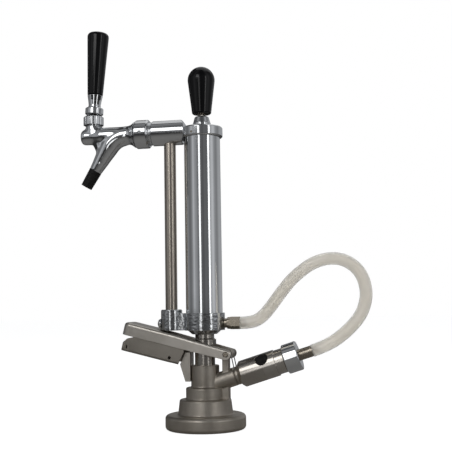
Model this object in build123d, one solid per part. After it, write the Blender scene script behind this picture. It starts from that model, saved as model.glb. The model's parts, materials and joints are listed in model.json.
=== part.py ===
from build123d import *
import os
from math import cos, radians, sin, tan, sqrt

# A keg coupler with a hand pump and a tap on it. Millimetres, +Z up. The origin is the middle of the
# round foot's lower face, on the axis of the probe. The lever and the tap point to -X, the gas inlet
# and its hose to +X.

# Cast body: foot, two steps and a neck round the probe
foot_radius = 39.7
foot_height = 14.5
foot_round = 3.6
cone_low_radius = 27.2
cone_top_radius = 25.4
cone_top = 29.0
step_radius = 19.2
step_top = 40.5
neck_radius = 14.0
neck_top = 62.0
casting_round = 1.5
mouth_radius = 33.5
mouth_depth = 3.2
socket_radius = 32.4
socket_depth = 9.0
lug_reach = 2.4
lug_height = 3.0
lug_angle = 40.0
chamber_radius = 12.1
chamber_top = 50.0
gasket_outer = 23.0
gasket_inner = 15.5
gasket_height = 3.2
gasket_seat_depth = 1.8

# Clearances: turning pins, sliding rods, and faces of different bodies
pin_clearance = 0.05
slide_clearance = 0.06
body_gap = 0.3

# Probe, which slides down in the neck
probe_radius = 10.0
probe_bore = 4.6
probe_inlet_bore = 2.8
probe_bottom = 14.6
probe_top = 94.0
probe_spigot_radius = 7.0
probe_seal_radius = 11.2
probe_seal_height = 4.0
groove_depth = 2.6
oring_section = 2.0
oring_slack = 0.1
oring_heights = (52.5, 59.0)
ball_radius = 3.6
ball_seat = 20.0
ball_travel = 3.6
cage_pin_radius = 0.6

# Lever: a pressed channel that turns on a rivet in the pillar, and works the probe with two pins
lever_angle = 14.0
pivot_x = 23.8
pivot_z = 73.0
lever_length = 107.0
lever_sheet = 1.6
lever_half_width = 16.2
lever_bottom = -5.3
lever_top = 7.2
lever_corner = 3.4
lever_nose_corner = 6.0
fork_length = 72.0
drive_pin_radius = 2.2
drive_pin_reach = 8.0
rivet_radius = 2.0
rivet_head_radius = 2.8
rivet_head_height = 1.2
pillar_left = 18.2
pillar_right = 24.4
pillar_half_width = 5.5
eye_radius = 5.1
spring_wire = 0.55
lever_spring_radius = 3.6
lever_spring_turns = 4

# Latch: a second channel that slides in the lever and snaps under the catch bracket
latch_travel = 5.5
latch_side_gap = 0.4
latch_sheet = 1.5
latch_left = 104.0
latch_right = 41.4
latch_bottom = -21.2
latch_top = 1.0
latch_web_start = 52.0
guide_pin_radius = 1.5
guide_pin_places = (58.0, 80.0)
guide_pin_height = -2.0
catch_pin_radius = 1.5
catch_pin_height = -16.0
catch_gap = 0.4
tab_place = 90.0
latch_spring_radius = 2.4
latch_spring_turns = 7
latch_hole_radius = 1.5
latch_hole_place = (54.2, -16.7)
latch_slot_place = (99.3, -16.4)

# Catch bracket: a bent plate screwed to a flat on the neck
bracket_sheet = 1.5
bracket_half_width = 8.0
neck_flat = 13.2
bracket_bottom = 46.3
bracket_top = 74.8
nose_x = -23.6
nose_z = 63.0
shoulder_x = -18.4
bracket_screw_radius = 1.7
bracket_screw_head = 3.4
bracket_screw_z = 56.0

# Gas inlet: a cast stub that rises to the side, the valve body, the union nut and the hose nipple
inlet_angle = 17.8
inlet_z = 41.2
stub_radius = 9.0
stub_end = 36.5
stub_bore = 4.0
stub_thread_radius = 6.4
stub_thread_depth = 9.0
valve_radius = 13.0
valve_start = 37.0
valve_end = 75.0
valve_chamfer = 2.6
valve_bore = 5.6
valve_inner_bore = 3.2
chamber_place = 52.0
seat_place = 66.0
seat_thickness = 3.0
seat_hole = 3.2
seal_seat_radius = 7.6
seal_seat_depth = 1.5
flat_depth = 2.2
flat_end = 62.0
flat_turn = 128.0
union_thread_radius = 11.2
union_thread_end = 94.0
union_shoulder_radius = 12.0
union_shoulder_end = 83.5
nut_radius = 14.4
nut_start = 84.0
nut_end = 98.5
nut_lip = 2.4
nut_chamfer = 1.3
nipple_radius = 5.5
nipple_flange_radius = 8.6
nipple_flange_height = 2.2
nipple_hex_end = 112.0
nipple_bore = 2.6
barb_radius = 3.9
barb_stem_radius = 3.3
barb_count = 2
barb_pitch = 2.4
barb_lead = 0.8
poppet_radius = 4.6
poppet_height = 2.6
poppet_gap = 0.05
poppet_stem_radius = 1.8
poppet_stem = 5.0
poppet_spring_radius = 3.6
poppet_spring_turns = 5
check_wire = 0.45
button_place = 63.0
button_turn = 50.0
button_radius = 6.4
button_recess = 1.0
button_travel = 1.2
button_stem_radius = 2.0

# Pump head: a casting under the cylinder, with a boss for the beer tube
head_radius = 20.3
head_bottom = 96.3
head_top = 113.2
cone_bottom = 92.4
head_cone_radius = 16.8
head_neck_radius = 12.4
adapter_radius = 11.3
adapter_band_radius = 9.4
adapter_band_height = 4.0
adapter_chamfer = 1.2
boss_radius = 11.8
boss_top = 117.0
channel_radius = 3.2
channel_z = 103.0
web_half_width = 6.5
plug_radius = 4.9
plug_dome = 3.4
outlet_hex = 10.8
outlet_start = 26.0
hose_start = 36.1

# Cylinder, plunger and top cap
cylinder_radius = 18.2
cylinder_wall = 1.5
cylinder_seat_depth = 5.2
cylinder_top = 296.0
cap_radius = 20.9
cap_bottom = 289.5
cap_top = 300.0
cap_skirt_chamfer = 1.0
cap_screw_radius = 1.5
cap_screw_turn = -108.0
packing_low_radius = 9.1
packing_high_radius = 7.3
packing_flange_height = 5.0
packing_top = 311.0
packing_thread_radius = 6.5
rod_radius = 2.5
rod_bottom = 122.0
piston_low = 126.0
piston_height = 6.0
piston_gap = 0.5
cup_height = 5.0
piston_nut_radius = 4.6
piston_nut_height = 3.2
knob_bottom = 314.0
knob_top = 362.8
knob_radius = 13.8
knob_taper = 6.8
knob_edge = 0.9
insert_radius = 4.6
insert_drop = 0.8
insert_depth = 12.0

# Beer tube and manifold
tube_x = -33.6
tube_radius = 6.0
tube_wall = 1.2
tube_seat_depth = 8.0
tube_top = 287.0
tap_z = 296.5
manifold_radius = 12.8
manifold_left = -52.0
manifold_bore = 8.5
manifold_chamfer = 1.6
thread_radius = 12.0
thread_end = -61.5
washer_thickness = 1.6
tap_nut_radius = 14.7
tap_nut_left = -69.2
tap_nut_right = -54.6
tap_nut_chamfer = 1.4

# Tap: body, spout, bonnet, shaft and lever
tap_x = -115.3
arm_radius = 9.4
arm_root_radius = 9.2
flare_radius = 13.8
flare_left = -78.5
flare_bow = 0.9
flange_radius = 11.6
flange_neck_radius = 10.2
tap_bore = 5.0
nose_radius = 8.2
nose_left = -129.4
tap_nose_z = 298.0
nose_round = 3.2
tap_boss_radius = 8.2
tap_boss_top = 308.7
bonnet_radius = 10.4
bonnet_top = 318.5
bonnet_spigot_radius = 7.2
bonnet_spigot_bottom = 306.4
bonnet_lip_radius = 4.75
bonnet_mouth_radius = 7.5
bonnet_scallops = 12
scallop_radius = 1.8
spout_angle = 31.4
spout_tip_x = -122.9
spout_tip_z = 245.0
spout_length = 54.0
spout_tip_radius = 5.6
spout_bore = 3.9
sleeve_length = 18.5
sleeve_top_radius = 6.6
sleeve_tip_radius = 5.9
spout_neck_radius = 6.4
bend_radius = 10.1
bend_x = -78.5
bend_z = 296.0
column_top = (-114.5, 304.0)
column_foot = (-104.5, 281.0)
column_top_radius = 8.1
column_foot_radius = 7.2
tap_ball_radius = 5.4
tap_ball_z = 309.0
ball_clearance = 0.1
finger_radius = 1.4
finger_ball_radius = 2.6
tap_boss_bore = 4.2
tap_lean = 3.2
tap_stem_radius = 3.0
collar_low = 319.6
collar_high = 327.0
collar_radius = 9.3
collar_hollow = 13.4
ferrule_high = 340.2
ferrule_low_radius = 6.4
ferrule_high_radius = 7.9
handle_top = 407.6
handle_top_radius = 11.2
handle_dome = 3.0
shaft_radius = 2.4
shaft_left = -127.3
shaft_right = -62.5
shaft_block_half = 5.2
shaft_block_radius = 4.6
tap_seal_radius = 6.6
tap_seal_left = -70.0
tap_seal_thickness = 2.4
tap_chamber_radius = 8.6

# Hose: its route lies in the plane of the probe and the inlet
hose_radius = 6.0
hose_inner_radius = 4.1
hose_route = [
    (47.5, 103.0), (58.0, 108.2), (67.0, 118.5), (77.5, 132.5), (90.5, 147.8), (112.0, 162.8),
    (136.0, 165.2), (154.5, 152.5), (160.8, 131.0), (155.5, 110.5), (140.5, 93.5),
]
hose_lead = 15.5
route_share = 0.45

# Values that follow from those above
inlet_rise = tan(radians(inlet_angle))
drive_rise = pivot_x * sin(radians(lever_angle))
probe_travel = 2 * drive_rise
drive_pin_z = pivot_z + drive_rise
groove_low = drive_pin_z - drive_pin_radius - 0.35
groove_high = drive_pin_z + drive_pin_radius + 0.35
adapter_bottom = groove_high
lever_inner = lever_half_width - lever_sheet
latch_outer = lever_inner - latch_side_gap
latch_inner = latch_outer - latch_sheet
catch_pin_orbit = sqrt((pivot_x - shoulder_x) ** 2
                       + (pivot_z - bracket_bottom) ** 2) + catch_pin_radius + catch_gap
catch_pin_place = sqrt(catch_pin_orbit ** 2 - catch_pin_height ** 2)
cylinder_low = head_top - cylinder_seat_depth
ball_height = ball_seat + sqrt(ball_radius ** 2 - probe_inlet_bore ** 2) + 0.05
cylinder_bore = cylinder_radius - cylinder_wall
finger_arm = tap_ball_z - tap_z

# The spout's bend runs from the arm's end to the spout's own axis; its radius makes the two meet
spout_slope = tan(radians(spout_angle))
spout_drop = 1 - sin(radians(spout_angle))
bend_offset = bend_x - spout_tip_x - (bend_z - spout_tip_z) * spout_slope
bend_arc = bend_offset / (cos(radians(spout_angle)) - spout_drop * spout_slope)
bend_place = (bend_z - bend_arc * spout_drop - spout_tip_z) / cos(radians(spout_angle))

# Working frames: the lever's has x along it to its tip, y up from it and z across
lever_frame = Plane(
    origin=(pivot_x, 0, pivot_z),
    x_dir=(-cos(radians(lever_angle)), 0, sin(radians(lever_angle))),
    z_dir=(0, 1, 0),
)
inlet_frame = Plane(
    origin=(0, 0, inlet_z),
    x_dir=(-sin(radians(inlet_angle)), 0, cos(radians(inlet_angle))),
    z_dir=(cos(radians(inlet_angle)), 0, sin(radians(inlet_angle))),
)
tap_frame = Plane(origin=(0, 0, tap_z), x_dir=(0, 1, 0), z_dir=(1, 0, 0))
outlet_frame = Plane(origin=(0, 0, channel_z), x_dir=(0, 1, 0), z_dir=(1, 0, 0))
spout_frame = Plane(
    origin=(spout_tip_x, 0, spout_tip_z),
    x_dir=(0, 1, 0),
    z_dir=(sin(radians(spout_angle)), 0, cos(radians(spout_angle))),
)
tap_lever_frame = Plane(
    origin=(tap_x, 0, tap_ball_z),
    x_dir=(cos(radians(tap_lean)), 0, -sin(radians(tap_lean))),
    z_dir=(sin(radians(tap_lean)), 0, cos(radians(tap_lean))),
)


def turned(outline):
    """A solid of revolution about Z from a closed outline of (radius, height) points."""
    return revolve(Plane.XZ * make_face(Polyline(*outline, close=True)), Axis.Z)


def rod(radius, low, high):
    return Pos(0, 0, low) * extrude(Circle(radius), amount=high - low)


def ring(outer, inner, low, high):
    return Pos(0, 0, low) * extrude(Circle(outer) - Circle(inner), amount=high - low)


def hexagon(across, low, high):
    """A hexagonal bar with turned corners, flats square to its x axis."""
    corner = across / sqrt(3)
    bar = Pos(0, 0, low) * extrude(RegularPolygon(corner, 6, rotation=30), amount=high - low)
    trim = across / 2 + 0.35 * (corner - across / 2)
    slope = corner - trim
    cut = turned([(0, low), (trim, low), (corner, low + slope), (corner, high - slope), (trim, high),
                  (0, high)])
    return bar & cut


def bevelled(outer, inner, low, high, bevel):
    """A ring whose two outer rims are bevelled."""
    return turned([(inner, low), (outer - bevel, low), (outer, low + bevel), (outer, high - bevel),
                   (outer - bevel, high), (inner, high)])


def oring(radius, section, height):
    return Pos(0, 0, height) * Torus(radius, section / 2)


def coil(radius, wire, length, turns):
    """A coil spring along Z, its wire's centre from 0 to length."""
    path = Helix(pitch=length / turns, height=length, radius=radius)
    return sweep(Plane(origin=path @ 0, z_dir=path % 0) * Circle(wire), path=path, is_frenet=True)


def coupler_body():
    outline = [
        (0, 0), (foot_radius, 0), (foot_radius, foot_height), (cone_low_radius, foot_height),
        (cone_top_radius, cone_top), (step_radius, cone_top), (step_radius, step_top),
        (neck_radius, step_top), (neck_radius, neck_top), (0, neck_top),
    ]
    face = make_face(Polyline(*outline, close=True))
    corners = face.vertices()
    big = [v for v in corners if v.X > foot_radius - 0.1]
    face = fillet(big, foot_round)
    soft = [v for v in face.vertices()
            if neck_radius - 0.1 < v.X < cone_low_radius + 0.1 and v.Y > foot_height
            - 0.1 and v.Y < neck_top - 0.1]
    face = fillet(soft, casting_round)
    body = revolve(Plane.XZ * face, Axis.Z)
    pillar_height = pivot_z - cone_top + 2 * casting_round
    pillar = Pos((pillar_left + pillar_right) / 2, 0, cone_top - 2 * casting_round) * Box(
        pillar_right - pillar_left, 2 * pillar_half_width, pillar_height,
        align=(Align.CENTER, Align.CENTER, Align.MIN))
    eye = lever_frame * Pos(0, 0, -pillar_half_width) * extrude(Circle(eye_radius),
        amount=2 * pillar_half_width)
    stub = inlet_frame * rod(stub_radius, 0, stub_end)
    groove = inlet_frame * ring(stub_radius + 1, stub_radius - 0.7, stub_end - 4.0, stub_end - 3.2)
    body = body + pillar + eye + stub - groove
    body -= rod(mouth_radius, -1, mouth_depth)
    body -= rod(socket_radius, 0, socket_depth)
    lug = ring(socket_radius + 1, socket_radius - lug_reach, mouth_depth, mouth_depth + lug_height)
    spread = foot_radius * tan(radians(lug_angle / 2))
    wedge = make_face(Polyline((0, 0), (foot_radius, -spread), (foot_radius, spread), close=True))
    for side in (0, 180):
        body += lug & Rot(0, 0, side) * extrude(wedge, amount=socket_depth)
    body -= ring(gasket_outer, gasket_inner, socket_depth - 0.01, socket_depth + gasket_seat_depth)
    body -= rod(chamber_radius, socket_depth - 1, chamber_top)
    body -= rod(probe_radius + slide_clearance, chamber_top - 1, neck_top + 1)
    for height in oring_heights:
        body -= ring(probe_radius + slide_clearance + oring_section, probe_radius - 0.5,
                     height - oring_section / 2, height + oring_section / 2)
    body -= inlet_frame * rod(stub_bore, 2, stub_end + 1)
    body -= inlet_frame * rod(stub_thread_radius, stub_end - stub_thread_depth, stub_end + 1)
    body -= Pos(-neck_flat - 5, 0, (bracket_bottom + neck_top) / 2) * Box(
        10, 4 * neck_radius, neck_top - bracket_bottom + 0.01)
    body -= lever_frame * Pos(0, 0, -2 * pillar_half_width) * extrude(
        Circle(rivet_radius), amount=4 * pillar_half_width)
    body -= Pos(0, 0, bracket_screw_z) * Rot(0, -90, 0) * rod(bracket_screw_radius, probe_radius + 1.2,
        neck_radius + 2)
    return body


def body_gasket():
    return ring(gasket_outer - 0.1, gasket_inner + 0.1, socket_depth + gasket_seat_depth - gasket_height,
                socket_depth + gasket_seat_depth)


def neck_orings():
    section = oring_section - oring_slack
    return Compound([oring(probe_radius + pin_clearance + section / 2, section,
                           height) for height in oring_heights])


def bracket_outline():
    back = -neck_flat
    return make_face(Polyline(
        (shoulder_x, bracket_top), (back, bracket_top), (back, bracket_bottom), (shoulder_x, bracket_bottom),
        (nose_x, nose_z), close=True))


def catch_bracket():
    plate = extrude(Plane.XZ * bracket_outline(), amount=bracket_half_width, both=True)
    hollow = Pos(-neck_flat - bracket_sheet - 10, 0, (bracket_bottom + bracket_top) / 2) * Box(
        20, 2 * (bracket_half_width - bracket_sheet), bracket_top)
    plate -= hollow
    plate -= Pos(0, 0, bracket_screw_z) * Rot(0, -90, 0) * rod(bracket_screw_radius + 0.1, 5, 40)
    return plate


def bracket_screw():
    face = neck_flat + bracket_sheet
    shank = rod(bracket_screw_radius, probe_radius + 1.3, face)
    head = rod(bracket_screw_head, face, face + 1.8)
    head = chamfer(head.edges().group_by(Axis.Z)[-1], 0.5)
    slot = Pos(0, 0, face + 1.8) * Box(1.0, 10, 1.4)
    return Pos(0, 0, bracket_screw_z) * Rot(0, -90, 0) * (shank + head - slot)


def pivot_rivet():
    span = lever_half_width + 0.2
    shank = Pos(0, 0, -span) * extrude(Circle(rivet_radius), amount=2 * span)
    head = turned([(0, 0), (rivet_head_radius, 0), (rivet_head_radius, rivet_head_height * 0.5),
                   (rivet_head_radius * 0.7, rivet_head_height), (0, rivet_head_height)])
    both = shank + Pos(0, 0, span) * head + Pos(0, 0, -span) * Rot(180, 0, 0) * head
    return lever_frame * both


def lever_handle():
    leg = -lever_bottom
    face = make_face(Polyline((lever_length, lever_bottom), (lever_length, lever_top),
                              (fork_length - 12, lever_top), (1.0, leg), (0, lever_bottom), close=True))
    face += Circle(leg)
    shell = extrude(face, amount=lever_half_width, both=True)
    nose = [e for e in shell.edges().filter_by(Axis.Y) if e.center().X > lever_length - 0.1]
    shell = fillet(nose, lever_nose_corner)
    crown = [e for e in shell.edges() if e.center().Y > lever_top - 0.1 and abs(e.center().Z) > 1
             or e.center().Y > lever_top - 0.1 and e.center().X > lever_length - 0.1]
    shell = fillet(crown, lever_corner)
    room = extrude(make_face(Polyline((lever_length - lever_sheet, lever_bottom - 1),
                                      (lever_length - lever_sheet, lever_top - lever_sheet),
                                      (-20, lever_top - lever_sheet), (-20, lever_bottom - 1), close=True)),
                   amount=lever_inner, both=True)
    room_nose = [e for e in room.edges().filter_by(Axis.Y) if e.center().X > 0]
    room = fillet(room_nose, lever_nose_corner - lever_sheet)
    room_crown = [e for e in room.edges() if e.center().Y > lever_top - lever_sheet
                  - 0.1 and e.center().X > -19]
    room = fillet(room_crown, lever_corner - lever_sheet)
    shell -= room
    fork = Pos(fork_length / 2 - 20, 0, 0) * Box(fork_length + 40, 4 * lever_top, 2 * lever_inner)
    fork = fillet([e for e in fork.edges().filter_by(Axis.Y) if e.center().X > 0], lever_inner * 0.45)
    shell -= fork
    shell -= extrude(Circle(rivet_radius + pin_clearance), amount=2 * lever_half_width, both=True)
    return lever_frame * shell


def drive_pins():
    pin = Pos(pivot_x, 0, drive_pin_reach) * extrude(Circle(drive_pin_radius),
                                                     amount=lever_inner - drive_pin_reach)
    return lever_frame * Compound([pin, mirror(pin, Plane.XY)])


def latch_guide_pins():
    return lever_frame * Compound([
        Pos(place, guide_pin_height, 0) * extrude(Circle(guide_pin_radius), amount=lever_inner, both=True)
        for place in guide_pin_places])


def lever_spring():
    """A double torsion spring on the rivet: one leg on the inlet stub, one under each drive pin."""
    start, width = pillar_half_width + 1.0, lever_inner - pillar_half_width - 2.0
    turns = coil(lever_spring_radius, spring_wire, width, lever_spring_turns)
    turns = Pos(0, 0, start) * turns
    leg_length = pivot_x + 1.5
    drop = drive_pin_radius + spring_wire + body_gap
    lean = (lever_spring_radius - drop) / leg_length
    active = Pos(0, -lever_spring_radius, start + width) * Rot(0, 90, 0) * Rot(-lean * 57.3, 0, 0) * rod(
        spring_wire, 0, leg_length)
    side = lever_frame * (turns + active)
    foot_x = pivot_x + lever_spring_radius + 3.0
    foot_z = inlet_z + foot_x * inlet_rise + sqrt(stub_radius ** 2 - start ** 2) / cos(radians(inlet_angle))
    top = Vector(pivot_x + lever_spring_radius, start, pivot_z)
    end = Vector(foot_x, start, foot_z + spring_wire + 0.2)
    leg = Plane(origin=top, z_dir=end - top) * rod(spring_wire, 0, (end - top).length)
    side = side + leg
    return Compound([side, mirror(side, Plane.XZ)])


def latch():
    outline = make_face(Polyline(
        (latch_right + 3.0, latch_bottom), (latch_left, latch_bottom), (latch_left, latch_bottom + 8.4),
        (latch_left - 3.6, latch_bottom + 13.0), (latch_left - 9.0, latch_bottom + 15.4),
        (latch_left - 12.0, latch_top), (latch_right, latch_top), (latch_right, -8.5), close=True))
    left = [v for v in outline.vertices() if v.X > latch_left - 4.0 and v.Y > latch_bottom + 5]
    outline = fillet(left, 2.5)
    channel = extrude(outline, amount=latch_outer, both=True)
    low = [e for e in channel.edges() if e.center().Y < latch_bottom + 0.1 and abs(e.center().Z) > 1]
    channel = fillet(low, 2.4)
    room = extrude(make_face(Polyline(
        (latch_right - 5, latch_bottom + latch_sheet), (latch_left - latch_sheet, latch_bottom + latch_sheet),
        (latch_left - latch_sheet, 20), (latch_right - 5, 20), close=True)), amount=latch_inner, both=True)
    channel -= room
    channel -= Pos(latch_web_start - 20, latch_bottom, 0) * Box(40, 8, 2 * latch_inner)
    for place in guide_pin_places:
        reach = latch_travel + 2 * (guide_pin_radius + body_gap)
        middle = place - latch_travel / 2
        channel -= Pos(middle, guide_pin_height, 0) * extrude(
            SlotOverall(reach, 2 * (guide_pin_radius + slide_clearance * 3)), amount=latch_outer + 1,
            both=True)
    channel -= Pos(*latch_hole_place, 0) * extrude(Circle(latch_hole_radius), amount=latch_outer + 1,
                                                   both=True)
    channel -= Pos(*latch_slot_place, 0) * extrude(
        Rot(0, 0, 80) * SlotOverall(3.4, 1.1), amount=latch_outer + 1, both=True)
    tab = Pos(tab_place + latch_sheet / 2, -2.0, 0) * Box(latch_sheet, 6.0, 2 * latch_inner + 0.02)
    channel += tab
    return lever_frame * channel


def catch_pin():
    return lever_frame * Pos(catch_pin_place, catch_pin_height, 0) * extrude(
        Circle(catch_pin_radius), amount=latch_inner, both=True)


def latch_spring():
    start = tab_place + latch_sheet + spring_wire
    length = lever_length - lever_sheet - spring_wire - start
    spring = coil(latch_spring_radius, spring_wire - 0.1, length, latch_spring_turns)
    return lever_frame * Pos(start, -1.4, 0) * Rot(0, 90, 0) * spring


def probe():
    tip = probe_bottom + 3.0
    body = turned([
        (probe_inlet_bore, probe_bottom), (probe_radius - 3.0, probe_bottom), (probe_radius - 3.0, tip),
        (probe_radius, tip),
        (probe_radius, groove_low), (probe_radius - groove_depth, groove_low),
        (probe_radius - groove_depth, groove_high), (probe_spigot_radius, groove_high),
        (probe_spigot_radius, probe_top), (probe_bore, probe_top), (probe_bore, ball_seat),
        (probe_inlet_bore, ball_seat)])
    stop = ball_height + ball_travel + ball_radius + cage_pin_radius + body_gap
    return body + Pos(0, 0, stop) * Rot(90, 0, 0) * Pos(0, 0, -probe_bore - 0.5) * rod(cage_pin_radius, 0,
        2 * probe_bore + 1)


def probe_seal():
    tip = probe_bottom + 3.0
    return turned([
        (probe_radius - 3.0, probe_bottom), (probe_seal_radius - 1.5, probe_bottom - 1.0),
        (probe_seal_radius, probe_bottom + 0.6), (probe_seal_radius - 1.0, tip), (probe_radius - 3.0, tip)])


def probe_ball():
    return Pos(0, 0, ball_height) * Sphere(ball_radius)


def adapter_nut():
    band = cone_bottom - adapter_band_height
    nut = turned([
        (probe_spigot_radius, adapter_bottom), (adapter_radius - 0.6, adapter_bottom),
        (adapter_radius, adapter_bottom + 0.6), (adapter_radius, band - adapter_chamfer),
        (adapter_band_radius, band), (adapter_band_radius, cone_bottom), (probe_spigot_radius, cone_bottom)])
    return nut


def pump_head():
    head = turned([
        (0, cone_bottom), (head_neck_radius, cone_bottom), (head_cone_radius, head_bottom),
        (head_radius, head_bottom), (head_radius, head_top), (0, head_top)])
    boss = Pos(tube_x, 0, 0) * rod(boss_radius - 1.2, head_bottom, boss_top)
    boss = chamfer(boss.edges().group_by(Axis.Z)[-1], 0.8)
    web = Pos(tube_x / 2, 0, head_bottom) * Box(
        -tube_x, 2 * web_half_width, head_top - head_bottom, align=(Align.CENTER, Align.CENTER, Align.MIN))
    head = head + boss + web
    head -= rod(cylinder_radius + 0.05, cylinder_low - 1.2, head_top + 1)
    head -= rod(probe_spigot_radius + 0.02, cone_bottom - 1, probe_top + 0.5)
    head -= rod(probe_bore, cone_bottom, channel_z)
    head -= outlet_frame * Rot(180, 0, 0) * rod(channel_radius, 0, -tube_x + boss_radius + 5)
    head -= Pos(tube_x, 0, 0) * rod(tube_radius + 0.05, boss_top - tube_seat_depth, boss_top + 1)
    head -= Pos(tube_x, 0, 0) * rod(tube_radius - tube_wall, channel_z, boss_top)
    head -= outlet_frame * rod(channel_radius, 10, head_radius + 1)
    head -= Pos(12, 0, 0) * rod(1.6, channel_z, head_top)
    return head


def head_plug():
    left = -tube_x + boss_radius - 1.2
    dome = turned([(0, left - 6), (channel_radius - 0.05, left - 6), (channel_radius - 0.05, left),
                   (plug_radius, left),
                   (plug_radius, left + 1.0), (plug_radius * 0.8, left + plug_dome * 0.75),
                   (plug_radius * 0.4, left + plug_dome),
                   (0, left + plug_dome)])
    return outlet_frame * Rot(180, 0, 0) * dome


def cylinder_gasket():
    return ring(cylinder_radius - 0.05, cylinder_bore - 1.2, cylinder_low - 1.2, cylinder_low)


def pump_cylinder():
    return ring(cylinder_radius, cylinder_bore, cylinder_low, cylinder_top)


def barbs(start, count):
    """A hose tail's stem with saw-tooth barbs, along Z from start."""
    outline = [(nipple_bore, start)]
    outline.append((barb_stem_radius, start))
    for i in range(count):
        low = start + barb_lead + i * barb_pitch
        outline += [(barb_stem_radius, low), (barb_radius, low), (barb_stem_radius, low + barb_pitch - 0.5)]
    end = start + barb_lead + count * barb_pitch
    outline += [(barb_stem_radius, end), (nipple_bore, end)]
    return turned(outline)


def outlet_tail():
    hexed = hexagon(outlet_hex, outlet_start, hose_start) - rod(nipple_bore, 0, 100)
    neck = ring(4.6, nipple_bore, head_radius, outlet_start)
    thread = ring(channel_radius - 0.05, nipple_bore - 0.6, head_radius - 7, head_radius)
    return outlet_frame * (hexed + neck + thread + barbs(hose_start, barb_count))


def top_cap():
    cap = turned([
        (0, cap_bottom), (cap_radius - cap_skirt_chamfer, cap_bottom),
        (cap_radius, cap_bottom + cap_skirt_chamfer),
        (cap_radius, cap_top - 1.4), (cap_radius - 1.4, cap_top), (0, cap_top)])
    cap -= rod(cylinder_radius + 0.05, cap_bottom - 1, cylinder_top)
    cap -= rod(packing_thread_radius + 0.02, cylinder_top - 1, cap_top + 1)
    screw = Pos(0, 0, (cap_bottom + cylinder_top) / 2) * Rot(0, 0, cap_screw_turn) * Rot(0, 90, 0)
    cap -= screw * rod(cap_screw_radius, cylinder_radius, cap_radius + 1)
    return cap


def cap_screw():
    screw = Pos(0, 0, (cap_bottom + cylinder_top) / 2) * Rot(0, 0, cap_screw_turn) * Rot(0, 90, 0)
    body = rod(cap_screw_radius, cylinder_radius + 0.1, cap_radius - 0.8)
    socket = Pos(0, 0, cap_radius - 1.6) * extrude(RegularPolygon(0.8, 6), amount=2)
    return screw * (body - socket)


def packing_nut():
    low, high = cap_top, packing_top
    nut = turned([
        (0, cylinder_top), (packing_thread_radius, cylinder_top), (packing_thread_radius, low),
        (packing_low_radius, low),
        (packing_low_radius, low + packing_flange_height), (packing_high_radius, high), (0, high)])
    nut -= rod(rod_radius + 1.6, cylinder_top - 1, high - 2.5)
    nut -= rod(rod_radius + slide_clearance, low, high + 1)
    return nut


def rod_bush():
    return ring(rod_radius + 1.6, rod_radius + slide_clearance, cylinder_top, packing_top - 2.5)


def pump_rod():
    return rod(rod_radius, rod_bottom, knob_bottom + insert_depth)


def piston():
    body = turned([
        (rod_radius, piston_low), (cylinder_bore - piston_gap, piston_low),
        (cylinder_bore - piston_gap, piston_low + 1.5),
        (cylinder_bore - 5, piston_low + 1.5), (cylinder_bore - 5, piston_low + piston_height),
        (rod_radius, piston_low + piston_height)])
    return body


def piston_cup():
    low = piston_low + 1.5
    lip = cylinder_bore - body_gap
    return turned([
        (cylinder_bore - 5, low), (lip - 0.4, low), (lip, low + cup_height), (lip - 1.6, low + cup_height),
        (lip - 2.4, low + 1.8), (cylinder_bore - 5, low + 1.8)])


def piston_nut():
    return hexagon(2 * piston_nut_radius, piston_low - piston_nut_height, piston_low) - rod(rod_radius, 0,
        200)


def knob_insert():
    return ring(insert_radius, rod_radius, knob_bottom - insert_drop, knob_bottom + insert_depth)


def pump_knob():
    """A ball on a cone that meets it in a tangent, with a brass insert for the rod."""
    centre = knob_top - knob_radius
    lean = radians(knob_taper)
    join = (knob_radius * cos(lean), centre - knob_radius * sin(lean))
    crown = (knob_radius * cos(radians(45)), centre + knob_radius * sin(radians(45)))
    foot = join[0] - (join[1] - knob_bottom) * tan(lean)
    outline = Polyline((0, knob_top), (0, knob_bottom), (foot - knob_edge, knob_bottom),
                       (foot, knob_bottom + knob_edge), join)
    face = make_face([*outline.edges(), ThreePointArc(join, crown, (0, knob_top))])
    shape = revolve(Plane.XZ * face, Axis.Z)
    return shape - rod(insert_radius, knob_bottom - 1, knob_bottom + insert_depth)


def beer_tube():
    return Pos(tube_x, 0, 0) * ring(tube_radius, tube_radius - tube_wall, boss_top - tube_seat_depth,
                                    tube_top)


def manifold():
    body = rod(manifold_radius, manifold_left, -cap_radius + 8)
    body = chamfer(body.edges().group_by(Axis.Z)[0], manifold_chamfer)
    thread = rod(thread_radius, thread_end, manifold_left)
    thread = chamfer(thread.edges().group_by(Axis.Z)[0], 0.8)
    body = tap_frame * (body + thread)
    body -= rod(cap_radius, 200, 400)
    body -= tap_frame * rod(manifold_bore, thread_end - 1, tube_x + 4)
    body -= Pos(tube_x, 0, 0) * rod(tube_radius + 0.05, tap_z - manifold_radius - 3, tube_top)
    body -= Pos(tube_x, 0, 0) * rod(tube_radius - tube_wall, tube_top - 1, tap_z)
    return body


def coupling_nut():
    nut = bevelled(tap_nut_radius, thread_radius + 0.05, tap_nut_left, tap_nut_right, tap_nut_chamfer)
    nut += ring(thread_radius + 0.5, flange_neck_radius + 0.15, tap_nut_left, tap_nut_left + 2.6)
    nut = tap_frame * nut
    middle = (tap_nut_left + tap_nut_right) / 2
    for turn in (0, 90, 180, 270):
        nut -= Pos(middle, 0, tap_z) * Rot(turn, 0, 0) * rod(1.5, thread_radius + 1.2, tap_nut_radius + 1)
    return nut


def coupling_washer():
    return tap_frame * ring(thread_radius - 0.6, manifold_bore, thread_end - washer_thickness, thread_end)


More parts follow.
